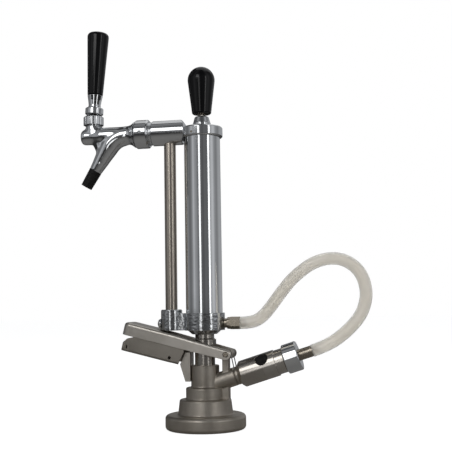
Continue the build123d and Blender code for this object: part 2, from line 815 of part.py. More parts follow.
def tap_body():
    """The arm, the curved spout under it, the boss for the lever and the round nose."""
    face = thread_end - washer_thickness
    flange_left = tap_nut_left + 2.8
    flare_middle = (arm_root_radius + flare_radius) / 2
    arm = tap_frame * turned([
        (0, tap_x), (nose_radius, tap_x), (arm_radius, tap_x + 8), (arm_root_radius, flare_left),
        (flare_middle - flare_bow, (flare_left + tap_nut_left) / 2),
        (flare_radius, tap_nut_left - 0.4), (flange_neck_radius, tap_nut_left - 0.4),
        (flange_neck_radius, flange_left), (flange_radius, flange_left), (flange_radius, face), (0, face)])
    boss = Pos(tap_x, 0, 0) * rod(tap_boss_radius, tap_z - 2, tap_boss_top)
    nose = fillet(rod(nose_radius, nose_left, tap_x).edges().group_by(Axis.Z)[0], nose_round)
    nose = Pos(0, 0, tap_nose_z - tap_z) * tap_frame * nose
    bend = revolve(Plane(origin=(bend_x, 0, bend_z), z_dir=(-1, 0, 0)) * Circle(bend_radius),
                   Axis((bend_x, 0, bend_z - bend_arc), (0, -1, 0)), 90 - spout_angle)
    tip = spout_frame * turned([
        (0, 0), (spout_tip_radius, 0), (spout_tip_radius, sleeve_length), (spout_neck_radius, sleeve_length),
        (bend_radius, bend_place), (0, bend_place)])
    top, foot = Vector(column_top[0], 0, column_top[1]), Vector(column_foot[0], 0, column_foot[1])
    column = Plane(origin=foot, z_dir=top - foot) * turned([
        (0, 0), (column_foot_radius, 0), (column_top_radius, (top - foot).length), (0, (top - foot).length)])
    body = arm + bend + boss + nose + column + tip
    body -= tap_frame * rod(tap_bore, tap_x - 6.5, face + 1)
    body -= tap_frame * rod(tap_chamber_radius, tap_seal_left, face + 1)
    body -= tap_frame * rod(shaft_radius + slide_clearance, nose_left + 1.5, tap_x)
    body -= Pos(tap_x, 0, 0) * rod(tap_boss_bore, tap_z, tap_ball_z)
    body -= Pos(tap_x, 0, tap_ball_z) * Sphere(tap_ball_radius + ball_clearance)
    body -= Pos(tap_x, 0, 0) * rod(bonnet_spigot_radius + 0.05, bonnet_spigot_bottom - 0.6, tap_boss_top + 1)
    body -= spout_frame * rod(spout_bore, -1, spout_length)
    return body


def bonnet_nut():
    """The scalloped nut that holds the lever's ball; its mouth opens outwards for the swing."""
    nut = turned([
        (0, bonnet_spigot_bottom), (bonnet_spigot_radius, bonnet_spigot_bottom),
        (bonnet_spigot_radius, tap_boss_top),
        (bonnet_radius, tap_boss_top), (bonnet_radius, bonnet_top - 1.5), (bonnet_radius - 2.0, bonnet_top),
        (0, bonnet_top)])
    nut -= rod(tap_ball_radius + ball_clearance, bonnet_spigot_bottom - 1, tap_ball_z)
    nut -= Pos(0, 0, tap_ball_z) * Sphere(tap_ball_radius + ball_clearance)
    nut -= turned([(0, tap_ball_z), (bonnet_lip_radius, tap_ball_z), (bonnet_lip_radius, tap_ball_z + 2.6),
                   (bonnet_mouth_radius, bonnet_top), (bonnet_mouth_radius, bonnet_top + 1),
                   (0, bonnet_top + 1)])
    for i in range(bonnet_scallops):
        scallop = Pos(bonnet_radius + scallop_radius * 0.7, 0, 0) * rod(scallop_radius, 0, 400)
        nut -= Rot(0, 0, i * 360 / bonnet_scallops) * scallop
    return Pos(tap_x, 0, 0) * nut


def friction_washer():
    return Pos(tap_x, 0, 0) * ring(
        bonnet_spigot_radius, tap_ball_radius - 0.25, bonnet_spigot_bottom - 0.6, bonnet_spigot_bottom)


def spout_sleeve():
    return spout_frame * turned([
        (spout_tip_radius, -0.6), (sleeve_tip_radius, -0.6), (sleeve_tip_radius + 0.1, 0),
        (sleeve_top_radius, sleeve_length), (spout_tip_radius, sleeve_length)])


def tap_lever():
    ball = Sphere(tap_ball_radius - 0.2)
    finger = rod(finger_radius, -finger_arm, 0) + Pos(0, 0, -finger_arm) * Sphere(finger_ball_radius)
    stem = rod(tap_stem_radius, 0, ferrule_high - tap_ball_z)
    return tap_lever_frame * (ball + finger + stem)


def lever_collar():
    low, high = collar_low - tap_ball_z, collar_high - tap_ball_z
    collar = turned([
        (tap_stem_radius, low), (collar_radius - 1.8, low), (collar_radius, low + 1.0),
        (collar_radius, high - 0.8),
        (collar_radius - 0.8, high), (tap_stem_radius, high)])
    return tap_lever_frame * (collar - (Sphere(collar_hollow) - rod(tap_stem_radius, 0, high)))


def ferrule():
    low, high = collar_high - tap_ball_z, ferrule_high - tap_ball_z
    body = turned([
        (tap_stem_radius, low), (ferrule_low_radius, low), (ferrule_low_radius, low + 1.5),
        (ferrule_low_radius + 0.3, (low + high) / 2), (ferrule_high_radius, high), (tap_stem_radius, high)])
    return tap_lever_frame * body


def tap_handle():
    low, high = ferrule_high - tap_ball_z, handle_top - tap_ball_z
    body = turned([
        (0, low), (ferrule_high_radius, low), (handle_top_radius, high - handle_dome - 1.0),
        (handle_top_radius - 1.4, high - handle_dome * 0.5), (handle_top_radius * 0.5, high - 0.3),
        (0, high)])
    return tap_lever_frame * body


def tap_shaft():
    shaft = rod(shaft_radius, shaft_left, shaft_right)
    middle = tap_x - finger_arm * sin(radians(tap_lean))
    block = rod(shaft_block_radius, middle - shaft_block_half, middle + shaft_block_half)
    shaft = tap_frame * (shaft + block)
    reach = finger_ball_radius + body_gap
    slot = Pos(middle, 0, tap_z - reach) * Box(
        2 * reach, 4 * reach, 4 * reach, align=(Align.CENTER, Align.CENTER, Align.MIN))
    return shaft - slot


def shaft_seal():
    return tap_frame * ring(tap_seal_radius, shaft_radius, tap_seal_left + 0.2,
                            tap_seal_left + 0.2 + tap_seal_thickness)


def shaft_nut():
    low = tap_seal_left + 0.2 + tap_seal_thickness
    return tap_frame * (hexagon(8.0, low, low + 2.6) - rod(shaft_radius, -200, 0))


def gas_valve_body():
    body = turned([
        (0, valve_start), (valve_radius - valve_chamfer, valve_start),
        (valve_radius, valve_start + valve_chamfer),
        (valve_radius, valve_end), (union_shoulder_radius, valve_end),
        (union_shoulder_radius, union_shoulder_end),
        (union_thread_radius, union_shoulder_end), (union_thread_radius, union_thread_end),
        (0, union_thread_end)])
    body += rod(stub_thread_radius - 0.05, stub_end - stub_thread_depth + 0.5, valve_start)
    body += rod(stub_radius, stub_end + 0.02, valve_start)
    body -= rod(valve_inner_bore, 0, chamber_place + 1)
    body -= rod(valve_bore, chamber_place, union_thread_end)
    body -= rod(seal_seat_radius, union_thread_end - seal_seat_depth, union_thread_end + 1)
    for turn in (flat_turn, flat_turn + 180):
        body -= Rot(0, 0, turn) * Pos(valve_radius, 0, (valve_start + flat_end) / 2) * Box(
            2 * flat_depth, 4 * valve_radius, flat_end - valve_start + 0.02)
    pocket = Pos(0, 0, button_place) * Rot(0, 0, button_turn) * Rot(0, 90, 0)
    body -= pocket * rod(button_radius + 0.1, valve_bore + 3.0, valve_radius + 2)
    body -= pocket * rod(button_stem_radius + slide_clearance, 0, valve_radius)
    return inlet_frame * body


def check_poppet():
    """A cone that shuts against the seat and opens towards the probe, on a guide stem."""
    face = seat_place - poppet_gap
    back = face - poppet_height
    body = turned([
        (0, face + 0.8), (seat_hole - 1.0, face + 0.8), (seat_hole - 0.4, face), (poppet_radius, face),
        (poppet_radius, back),
        (poppet_stem_radius, back), (poppet_stem_radius, back - poppet_stem), (0, back - poppet_stem)])
    return inlet_frame * body


def check_spring():
    low = chamber_place + check_wire
    length = seat_place - poppet_gap - poppet_height - check_wire - low
    return inlet_frame * Pos(0, 0, low) * coil(poppet_spring_radius, check_wire, length, poppet_spring_turns)


def valve_seat():
    return inlet_frame * ring(valve_bore - 0.05, seat_hole, seat_place, seat_place + seat_thickness)


def relief_button():
    pocket = Pos(0, 0, button_place) * Rot(0, 0, button_turn) * Rot(0, 90, 0)
    face = valve_radius - button_recess
    low = valve_bore + 3.0 + button_travel + body_gap
    cap = rod(button_radius - 0.2, low, face)
    cap = fillet(cap.edges().group_by(Axis.Z)[-1], 0.8)
    stem = rod(button_stem_radius, valve_bore + 0.6 + button_travel, low)
    return inlet_frame * pocket * (cap + stem)


def union_nut():
    nut = bevelled(nut_radius, union_thread_radius + 0.05, nut_start, nut_end, nut_chamfer)
    nut += ring(union_thread_radius + 0.5, nipple_radius + 0.25, nut_end - nut_lip, nut_end)
    return inlet_frame * nut


def nipple_seal():
    return inlet_frame * ring(seal_seat_radius - 0.1, seat_hole, union_thread_end - seal_seat_depth,
                              union_thread_end)


def inlet_nipple():
    low = union_thread_end
    flange = ring(nipple_flange_radius, nipple_bore, low, nut_end - nut_lip)
    stem = ring(nipple_radius, nipple_bore, nut_end - nut_lip, nipple_hex_end)
    slot = Rot(0, 0, 62) * Pos(nipple_radius, 0, nut_end + 6.2) * Box(1.0, 1.0, 8.0)
    return inlet_frame * (flange + stem - slot + barbs(nipple_hex_end, barb_count))


def air_hose():
    start = (hose_start, 0, channel_z)
    lead = inlet_frame.origin + inlet_frame.z_dir * (nipple_hex_end + hose_lead)
    end = inlet_frame.origin + inlet_frame.z_dir * nipple_hex_end
    points = [Vector(start)] + [Vector(x, 0, z) for x, z in hose_route] + [lead, end]
    radii = []
    for before, at, after in zip(points, points[1:], points[2:]):
        turn = (at - before).get_angle(after - at)
        run = min((at - before).length, (after - at).length)
        radii.append(route_share * run / tan(radians(turn / 2)))
    print("hose arc radii", [round(r, 1) for r in radii])
    path = FilletPolyline(*points, radius=radii)
    section = Plane(origin=start, x_dir=(0, 1, 0),
                    z_dir=(1, 0, 0)) * (Circle(hose_radius) - Circle(hose_inner_radius))
    hose = sweep(section, path=path)
    area = 3.14159265 * (hose_radius ** 2 - hose_inner_radius ** 2)
    print("hose length", round(path.length, 1), "volume share", round(hose.volume / (area * path.length), 4))
    return hose


makers = [
    coupler_body, body_gasket, neck_orings, catch_bracket, bracket_screw, pivot_rivet, lever_spring,
    gas_valve_body, check_poppet, check_spring, valve_seat, relief_button, union_nut, nipple_seal,
    inlet_nipple,
    lever_handle, drive_pins, latch_guide_pins, latch, catch_pin, latch_spring,
    probe, probe_seal, probe_ball, adapter_nut, pump_head, head_plug, cylinder_gasket, pump_cylinder,
    outlet_tail,
    top_cap, cap_screw, packing_nut, rod_bush, beer_tube, manifold, coupling_nut, coupling_washer,
    tap_body, bonnet_nut, friction_washer, spout_sleeve,
    pump_rod, piston, piston_cup, piston_nut, knob_insert, pump_knob,
    tap_lever, lever_collar, ferrule, tap_handle, tap_shaft, shaft_seal, shaft_nut,
    air_hose,
]

if __name__ == "__main__":
    os.makedirs("parts", exist_ok=True)
    for maker in makers:
        export_step(maker(), os.path.join("parts", maker.__name__ + ".step"))
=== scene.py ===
# %% [markdown]
# # A keg coupler with a hand pump and a tap
# The real thing is a cast foot that locks on a keg, a lever that pushes a probe down into it, a chromed
# hand pump on top of the probe, and a beer tube at the side that leads to a small tap. The exact solids
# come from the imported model. They could all be modelled again here, but that would let them drift from
# the real sizes. So this lesson dresses copies of them, and makes again only what has to be truly round,
# to flow, or to bend.

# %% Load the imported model
import json
from math import cos, pi, radians, sin, tan

import bmesh
import bpy
from mathutils import Matrix, Vector

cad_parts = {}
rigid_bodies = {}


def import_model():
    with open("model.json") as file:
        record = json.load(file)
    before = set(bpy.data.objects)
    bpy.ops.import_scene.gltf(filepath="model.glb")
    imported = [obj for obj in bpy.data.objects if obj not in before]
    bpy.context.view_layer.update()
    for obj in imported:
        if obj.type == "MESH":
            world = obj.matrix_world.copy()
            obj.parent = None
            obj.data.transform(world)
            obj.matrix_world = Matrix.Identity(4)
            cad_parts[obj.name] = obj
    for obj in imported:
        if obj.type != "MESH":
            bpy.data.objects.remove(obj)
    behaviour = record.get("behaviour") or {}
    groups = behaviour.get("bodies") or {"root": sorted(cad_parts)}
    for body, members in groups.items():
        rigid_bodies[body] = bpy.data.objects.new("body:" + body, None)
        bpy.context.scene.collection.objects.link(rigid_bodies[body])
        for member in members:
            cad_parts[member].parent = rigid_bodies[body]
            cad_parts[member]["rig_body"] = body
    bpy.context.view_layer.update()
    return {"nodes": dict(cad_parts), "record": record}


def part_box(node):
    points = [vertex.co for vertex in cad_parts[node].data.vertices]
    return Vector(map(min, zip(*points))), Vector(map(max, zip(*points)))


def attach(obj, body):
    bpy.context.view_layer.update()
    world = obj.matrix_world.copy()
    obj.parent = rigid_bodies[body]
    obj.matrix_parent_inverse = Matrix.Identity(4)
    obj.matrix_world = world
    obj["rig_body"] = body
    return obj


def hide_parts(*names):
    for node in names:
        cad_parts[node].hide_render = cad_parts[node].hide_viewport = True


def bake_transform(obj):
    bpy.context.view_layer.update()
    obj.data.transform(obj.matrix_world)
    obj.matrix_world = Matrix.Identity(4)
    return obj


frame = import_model()
nodes = frame["nodes"]
scene = bpy.context.scene
scene.view_settings.view_transform = "Standard"
MM = 0.001
print("nodes in the frame:", len(nodes))

# %% [markdown]
# ## The camera
# The photograph was taken from a little to the right of the tap's plane and from low down, just above
# the height of the pump's head, looking slightly up. A camera could be aimed by eye with a Track To
# constraint. Here it is set from the angles measured in the picture, so the render can be laid over it.

# %% Place the camera
camera_side = 11.0
camera_azimuth = radians(camera_side)
camera_pitch = radians(5.18)
camera_roll = radians(0.94)
camera_place = Vector((185.2, -829.6, 122.6)) * MM
picture_pixels = 452.0
focal_pixels = 850.0
shift_pixels = -0.6
sensor_width = 36.0

forward = Vector((
    -sin(camera_azimuth) * cos(camera_pitch), cos(camera_azimuth) * cos(camera_pitch), sin(camera_pitch)))
level_right = Vector((cos(camera_azimuth), sin(camera_azimuth), 0))
level_up = level_right.cross(forward)
right = level_right * cos(camera_roll) - level_up * sin(camera_roll)
up = level_right * sin(camera_roll) + level_up * cos(camera_roll)
camera_data = bpy.data.cameras.new("camera")
camera_data.sensor_fit = "HORIZONTAL"
camera_data.sensor_width = sensor_width
camera_data.lens = sensor_width * focal_pixels / picture_pixels
camera_data.clip_start = 0.01
camera_data.shift_x = shift_pixels / picture_pixels
camera = bpy.data.objects.new("camera", camera_data)
camera.matrix_world = Matrix.Translation(camera_place) @ Matrix((right, up, -forward)).transposed().to_4x4()
scene.collection.objects.link(camera)
scene.camera = camera
print("lens", round(camera_data.lens, 2), "mm")

# %% [markdown]
# ## The gas hose
# The hose is a quarter metre of clear plastic tube, pushed on a tail at each end. Because it is stiff and
# short it stands up in a loop by itself. A bevelled curve alone would be a solid rod, but a real hose has
# a wall. So the curve's own bevel carries a ring along a route of given points, and solidify
# gives the ring its wall. On the real pump the pump's end goes down with the pump and the inlet's end
# stays; here the hose is one piece that stays in place.

# %% Lay the hose's route
inlet_angle = radians(17.8)
inlet_low = Vector((0, 0, 41.2)) * MM
inlet_way = Vector((cos(inlet_angle), 0, sin(inlet_angle)))
inlet_stop, inlet_lead = 112.0, 127.5
hose_start = Vector((36.1, 0, 103.0)) * MM
hose_end = inlet_low + inlet_way * inlet_stop * MM
hose_lead = inlet_low + inlet_way * inlet_lead * MM
hose_radius = 6.0 * MM
hose_wall = 1.9 * MM
hose_middle = [
    (47.5, 103.0), (58.0, 108.2), (67.0, 118.5), (77.5, 132.5), (90.5, 147.8), (112.0, 162.8),
    (136.0, 165.2), (154.5, 152.5), (160.8, 131.0), (155.5, 110.5), (140.5, 93.5),
]
hose_points = [hose_start] + [Vector((x, 0, z)) * MM for x, z in hose_middle] + [hose_lead, hose_end]


def route_curve(name, points):
    """A NURBS curve with these control points."""
    data = bpy.data.curves.new(name, "CURVE")
    data.dimensions = "3D"
    spline = data.splines.new("NURBS")
    spline.points.add(len(points) - 1)
    for control, point in zip(spline.points, points):
        control.co = (*point, 1)
    spline.order_u = 3
    spline.use_endpoint_u = True
    spline.resolution_u = 12
    curve = bpy.data.objects.new(name, data)
    scene.collection.objects.link(curve)
    return curve


hose_line = route_curve("hose_line", hose_points)
bpy.context.view_layer.update()
line_mesh = bpy.data.meshes.new_from_object(hose_line)

# %% Two helpers for the meshes made here
same_point = 0.001 * MM


def shade_smooth(shape):
    for face in shape.faces:
        face.smooth = True


def new_piece(name, shape):
    """An object in the scene with this bmesh as its mesh. The bmesh is freed."""
    mesh = bpy.data.meshes.new(name)
    shape.to_mesh(mesh)
    shape.free()
    piece = bpy.data.objects.new(name, mesh)
    scene.collection.objects.link(piece)
    return piece


print("points closer than", same_point, "m are merged")

# %% Give the hose its round wall
hose_line.data.bevel_depth = hose_radius
hose_line.data.bevel_resolution = 10
bpy.context.view_layer.update()
shape = bmesh.new()
shape.from_mesh(bpy.data.meshes.new_from_object(hose_line))
bpy.data.objects.remove(hose_line)
bmesh.ops.remove_doubles(shape, verts=shape.verts[:], dist=same_point)
bmesh.ops.recalc_face_normals(shape, faces=shape.faces[:])
bmesh.ops.solidify(shape, geom=shape.faces[:], thickness=hose_wall)
shade_smooth(shape)
hose = new_piece("gas_hose", shape)
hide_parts("air_hose")
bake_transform(hose)
print("hose faces", len(hose.data.polygons))

# %% [markdown]
# ## Finishes
# Every finish is a Principled shader with a little procedural variation. Photographs or scans could be
# used for that, but noise on Object coordinates needs no files and holds its size on every piece.


# %% A material whose colour, roughness and bumps follow a noise
def new_material(name, metallic, colour=(0.8, 0.8, 0.8)):
    """A Principled material. Its plain colour shows only where no tint is added."""
    material = bpy.data.materials.new(name)
    material.use_nodes = True
    set_sockets(material, {"Base Color": (*colour, 1), "Metallic": metallic})
    return material


def shader_of(material):
    return material.node_tree.nodes["Principled BSDF"]


def set_sockets(material, values):
    """Sets plain values on the material's shader."""
    for socket, value in values.items():
        shader_of(material).inputs[socket].default_value = value


def object_noise(material, scale, detail=4.0, stretch=(1, 1, 1)):
    """Noise on Object coordinates. stretch squeezes it along an axis, to make grain."""
    tree = material.node_tree
    place = tree.nodes.new("ShaderNodeTexCoord")
    mapping = tree.nodes.new("ShaderNodeMapping")
    mapping.inputs["Scale"].default_value = stretch
    noise = tree.nodes.new("ShaderNodeTexNoise")
    noise.inputs["Scale"].default_value = scale
    noise.inputs["Detail"].default_value = detail
    tree.links.new(place.outputs["Object"], mapping.inputs["Vector"])
    tree.links.new(mapping.outputs["Vector"], noise.inputs["Vector"])
    return noise.outputs["Fac"]


def tint(material, dark, light, **grain):
    """The shader's colour runs from dark to light with a noise."""
    ramp = material.node_tree.nodes.new("ShaderNodeValToRGB")
    for element, spot, colour in zip(ramp.color_ramp.elements, (0.32, 0.68), (dark, light)):
        element.position = spot
        element.color = (*colour, 1)
    material.node_tree.links.new(object_noise(material, **grain), ramp.inputs["Fac"])
    material.node_tree.links.new(ramp.outputs["Color"], shader_of(material).inputs["Base Color"])


def rough(material, low, high, **grain):
    """The shader's roughness runs from low to high with a noise."""
    span = material.node_tree.nodes.new("ShaderNodeMapRange")
    for socket, value in (("From Min", 0.3), ("From Max", 0.7), ("To Min", low), ("To Max", high)):
        span.inputs[socket].default_value = value
    material.node_tree.links.new(object_noise(material, **grain), span.inputs["Value"])
    material.node_tree.links.new(span.outputs["Result"], shader_of(material).inputs["Roughness"])


def bumped(material, strength, depth, **grain):
    """The surface rises and falls with a noise, by this depth in metres."""
    bump = material.node_tree.nodes.new("ShaderNodeBump")
    bump.inputs["Strength"].default_value = strength
    bump.inputs["Distance"].default_value = depth
    material.node_tree.links.new(object_noise(material, **grain), bump.inputs["Height"])
    material.node_tree.links.new(bump.outputs["Normal"], shader_of(material).inputs["Normal"])


# %% [markdown]
# ### Steel
# The foot is an investment casting: warm grey, satin, with fine pits. The lever and its latch are pressed
# from sheet, with a grain that a stretched noise gives. The latch sits in the lever's channel, where less
# light reaches it, so its steel is painted darker as painted shade. Turned pieces and tube are smoother. One
# steel could serve for all, but side by side these surfaces differ in the photograph.

# %% Cast, pressed, turned and drawn stainless steel
cast_steel = new_material("cast_stainless", 1.0)
tint(cast_steel, (0.44, 0.40, 0.345), (0.55, 0.51, 0.45), scale=60, detail=6)
rough(cast_steel, 0.38, 0.50, scale=220, detail=5)
bumped(cast_steel, 0.35, 0.0001, scale=1100, detail=6)


def pressed(name, dark, light, smooth, dull):
    """Sheet steel with the grain of its rolling."""
    material = new_material(name, 1.0)
    tint(material, dark, light, scale=40, detail=5, stretch=(1, 6, 1))
    rough(material, smooth, dull, scale=320, detail=4, stretch=(1, 12, 1))
    bumped(material, 0.15, 0.00005, scale=900, detail=4, stretch=(0.3, 5, 1))
    return material


pressed_steel = pressed("pressed_stainless", (0.57, 0.535, 0.48), (0.69, 0.655, 0.60), 0.29, 0.39)
# The latch's copy is darker only as painted shade for the lever's channel
latch_painted_shade_steel = pressed("pressed_stainless_latch_painted_shade", (0.34, 0.315, 0.275), (0.42, 0.39, 0.345), 0.32, 0.44)

turned_steel = new_material("turned_stainless", 1.0)
tint(turned_steel, (0.54, 0.505, 0.455), (0.62, 0.59, 0.545), scale=30, detail=3)
rough(turned_steel, 0.19, 0.25, scale=120, detail=3, stretch=(1, 1, 5))

tube_steel = new_material("drawn_stainless", 1.0)
tint(tube_steel, (0.51, 0.455, 0.39), (0.60, 0.545, 0.475), scale=50, detail=3, stretch=(1, 1, 0.12))
rough(tube_steel, 0.24, 0.31, scale=260, detail=3, stretch=(1, 1, 0.05))

spring_steel = new_material("spring_wire", 1.0, colour=(0.38, 0.38, 0.37))
rough(spring_steel, 0.28, 0.42, scale=400)
print("steels made")

# %% [markdown]
# ### Chrome and nickel
# The pump is chromed, so nearly all that shows on it is what stands round it. Chrome is never quite even,
# so its roughness changes a little over a few centimetres. The pump's head is chrome on a rough casting:
# its mottled look could be sculpted, but a bump does it without a single face more. Nickel is a dull
# yellowish grey beside chrome.

# %% Chrome, chrome on a casting, and nickel
chrome = new_material("chrome_plate", 1.0)
tint(chrome, (0.76, 0.78, 0.79), (0.83, 0.845, 0.86), scale=25, detail=3)
rough(chrome, 0.05, 0.10, scale=60, detail=3)

cast_chrome = new_material("chrome_on_casting", 1.0)
tint(cast_chrome, (0.58, 0.60, 0.61), (0.74, 0.755, 0.77), scale=120, detail=5)
rough(cast_chrome, 0.09, 0.18, scale=300, detail=4)
bumped(cast_chrome, 0.35, 0.0004, scale=420, detail=3)

nickel = new_material("nickel_on_brass", 1.0)
tint(nickel, (0.33, 0.29, 0.23), (0.41, 0.37, 0.315), scale=90, detail=4)
rough(nickel, 0.22, 0.32, scale=200, detail=3)
print("plated finishes made")

# %% [markdown]
# ### Plastics, rubber and the hose
# The two handles are glossy black mouldings with a faint ripple. The sleeve and the seals are rubber,
# dull and slightly dusty. The hose is clear with a milky, warm tinge. Full glass would show the world's
# dark panels as speckle, so a little over half of the light goes through, softly scattered, and a smooth
# coat lies on top for the highlights.

# %% Black plastic, rubber, white plastic and clear hose
black_plastic = new_material("black_moulding", 0.0)
tint(black_plastic, (0.003, 0.003, 0.004), (0.006, 0.006, 0.007), scale=60, detail=4)
rough(black_plastic, 0.09, 0.17, scale=90, detail=4)
bumped(black_plastic, 0.04, 0.0002, scale=70, detail=3)
set_sockets(black_plastic, {"Specular IOR Level": 0.35})

rubber = new_material("black_rubber", 0.0)
tint(rubber, (0.008, 0.008, 0.008), (0.02, 0.019, 0.018), scale=300, detail=5)
rough(rubber, 0.45, 0.65, scale=500, detail=4)
bumped(rubber, 0.2, 0.0001, scale=1500, detail=4)
set_sockets(rubber, {"Specular IOR Level": 0.3})

white_plastic = new_material("white_bearing_plastic", 0.0, colour=(0.78, 0.77, 0.73))
rough(white_plastic, 0.38, 0.52, scale=300)

clear_plastic = new_material("clear_hose", 0.0)
tint(clear_plastic, (0.925, 0.90, 0.845), (0.95, 0.93, 0.885), scale=50, detail=3)
rough(clear_plastic, 0.38, 0.46, scale=120, detail=4)
set_sockets(clear_plastic, {
    "Transmission Weight": 0.6, "IOR": 1.1, "Coat Weight": 1.0, "Coat Roughness": 0.04, "Coat IOR": 1.45})
hose.data.materials.append(clear_plastic)

finishes = {
    "cast_steel": cast_steel, "pressed_steel": pressed_steel, "machined_steel": turned_steel,
    "tube_steel": tube_steel, "spring_steel": spring_steel, "chrome": chrome, "nickel_brass": nickel,
    "black_plastic": black_plastic, "white_plastic": white_plastic, "black_rubber": rubber,
}
print("finishes:", len(finishes) + 1)

# %% [markdown]
# ## Dressing the solids
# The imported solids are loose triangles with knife-sharp edges, and no made thing has those. One could
# model each again; here each is copied, its triangles are joined and melted into whole faces, and a small
# bevel breaks its edges. Flat faces keep flat shading through a Weighted Normal modifier.

# %% A copy of a solid with broken edges
sharp_angle = radians(35.0)
flat_angle = radians(0.05)
sliver = 0.03 * MM


def dressed(node, width):
    """A merged copy of a CAD node, with its edges bevelled by width millimetres."""
    shape = bmesh.new()
    shape.from_mesh(nodes[node].data)
    bmesh.ops.remove_doubles(shape, verts=shape.verts[:], dist=2 * same_point)
    bmesh.ops.dissolve_degenerate(shape, dist=sliver, edges=shape.edges[:])
    bmesh.ops.dissolve_limit(shape, angle_limit=flat_angle, verts=shape.verts[:], edges=shape.edges[:])
    shade_smooth(shape)
    for edge in shape.edges:
        edge.smooth = edge.calc_face_angle(0) < sharp_angle
    piece = new_piece(node + "_look", shape)
    if width:
        bevel = piece.modifiers.new("broken_edges", "BEVEL")
        bevel.width = width * MM
        bevel.segments = 2
        bevel.limit_method = "ANGLE"
        bevel.angle_limit = sharp_angle
        bevel.use_clamp_overlap = False
        normals = piece.modifiers.new("flat_faces", "WEIGHTED_NORMAL")
        normals.keep_sharp = True
    return piece


edge_widths = {
    "coupler_body": 0.5, "pump_head": 0.2, "coupling_nut": 0.3, "gas_valve_body": 0.2,
    "lever_handle": 0.25, "latch": 0.25, "catch_bracket": 0.25, "probe": 0.2, "adapter_nut": 0.2,
    "outlet_tail": 0.15, "inlet_nipple": 0.15, "beer_tube": 0.1, "lever_collar": 0.2,
    "bonnet_nut": 0.2, "relief_button": 0.2, "pivot_rivet": 0.15,
}
print("pieces with broken edges:", len(edge_widths))

# %% [markdown]
# ### Springs between two bodies
# Three springs join pieces that move against each other. A shape key could squash one of them for one
# pose. Here each spring only gets its two bodies and where its two ends are, measured along the way in
# which it is squeezed. The lever's spring is twisted instead, round the lever's rivet.

# %% The ends of the springs
lever_lean = radians(14.0)
lever_way = Vector((-cos(lever_lean), 0, sin(lever_lean)))
rivet_place = Vector((23.8, 0, 73.0)) * MM
coil_reach = Vector((3.5, 0, 0)) * MM


def ends(node, way):
    """The two ends of a CAD node along a direction."""
    corners = [nodes[node].matrix_world @ vertex.co for vertex in nodes[node].data.vertices]
    middle = sum(corners, Vector()) / len(corners)
    along = [(corner - middle).dot(way) for corner in corners]
    return tuple(middle + way * min(along)), tuple(middle + way * max(along))


springs = {
    "latch_spring": ("latch_plate", "lever", ends("latch_spring", lever_way)),
    "check_spring": ("root", "check_valve", ends("check_spring", inlet_way)),
    "lever_spring": ("root", "lever", (tuple(rivet_place + coil_reach), tuple(rivet_place - coil_reach))),
}
print("springs:", list(springs))

# %% [markdown]
# ### Each solid in its finish
# The imported record says which finish each node has. A list of the nodes and their materials could be kept
# here as well, but then two lists would have to agree. Only two of these solids differ from their kind,
# the latch, darkened with painted shade, and the pump's rough casting. The outlet's hexagon also starts
# nearer the head here.

# %% Dress every solid that isn't made anew
slots = {part["node"]: part["material_slot"] for part in frame["record"]["subparts"]}
made_anew = [
    "air_hose", "pump_cylinder", "top_cap", "packing_nut", "manifold", "union_nut", "ferrule", "tap_body",
    "pump_knob", "tap_handle", "spout_sleeve",
]
hexagon_left, hexagon_seat, hexagon_gap = 26.0, 23.2, 0.05


def finished(piece, node):
    """Gives a piece its node's finish, and puts it in the node's place."""
    piece.data.materials.clear()
    piece.data.materials.append(finishes[slots[node]])
    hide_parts(node)
    if node in springs:
        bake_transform(piece)
    else:
        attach(piece, nodes[node]["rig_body"])


looks = {}
for node in nodes:
    if node not in made_anew:
        looks[node] = dressed(node, edge_widths.get(node, 0.0))
        finished(looks[node], node)
for vertex in looks["outlet_tail"].data.vertices:
    if abs(vertex.co.x / MM - hexagon_left) < hexagon_gap:
        vertex.co.x = hexagon_seat * MM
# The latch gets the darker copy of the pressed steel, as painted shade
looks["latch"].data.materials[0] = latch_painted_shade_steel
looks["pump_head"].data.materials[0] = cast_chrome
print("solids dressed:", len(looks))

# %% [markdown]
# ## Turned pieces
# What came off a lathe is made again on one. An outline of radius and height is drawn, its corners are
# rounded, and it is spun about the axis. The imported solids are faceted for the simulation, and in chrome
# each facet would show as a step in the reflection, which a spin of 128 steps doesn't have. The heights
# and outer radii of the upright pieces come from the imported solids, so that they can't drift. A leaning
# piece has no such easy box, and its sizes are given along its own axis.

# %% Measure, round and spin
corner_share = 0.4
corner_steps = 5
spin_steps = 128


def extent(node):
    """The lowest and highest corner of a CAD node, in millimetres."""
    return [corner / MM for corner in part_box(node)]


def rounded(outline, radius, closed):
    """The outline with each inner corner replaced by a short curve."""
    points = [Vector(point) for point in outline]
    result = []
    for index, point in enumerate(points):
        if not closed and index in (0, len(points) - 1):
            result.append(point)
            continue
        before = points[index - 1] - point
        after = points[(index + 1) % len(points)] - point
        reach = min(radius, corner_share * before.length, corner_share * after.length)
        start = point + before.normalized() * reach
        end = point + after.normalized() * reach
        for step in range(corner_steps + 1):
            on = step / corner_steps
            result.append(start * (1 - on) ** 2 + point * 2 * on * (1 - on) + end * on ** 2)
    return result


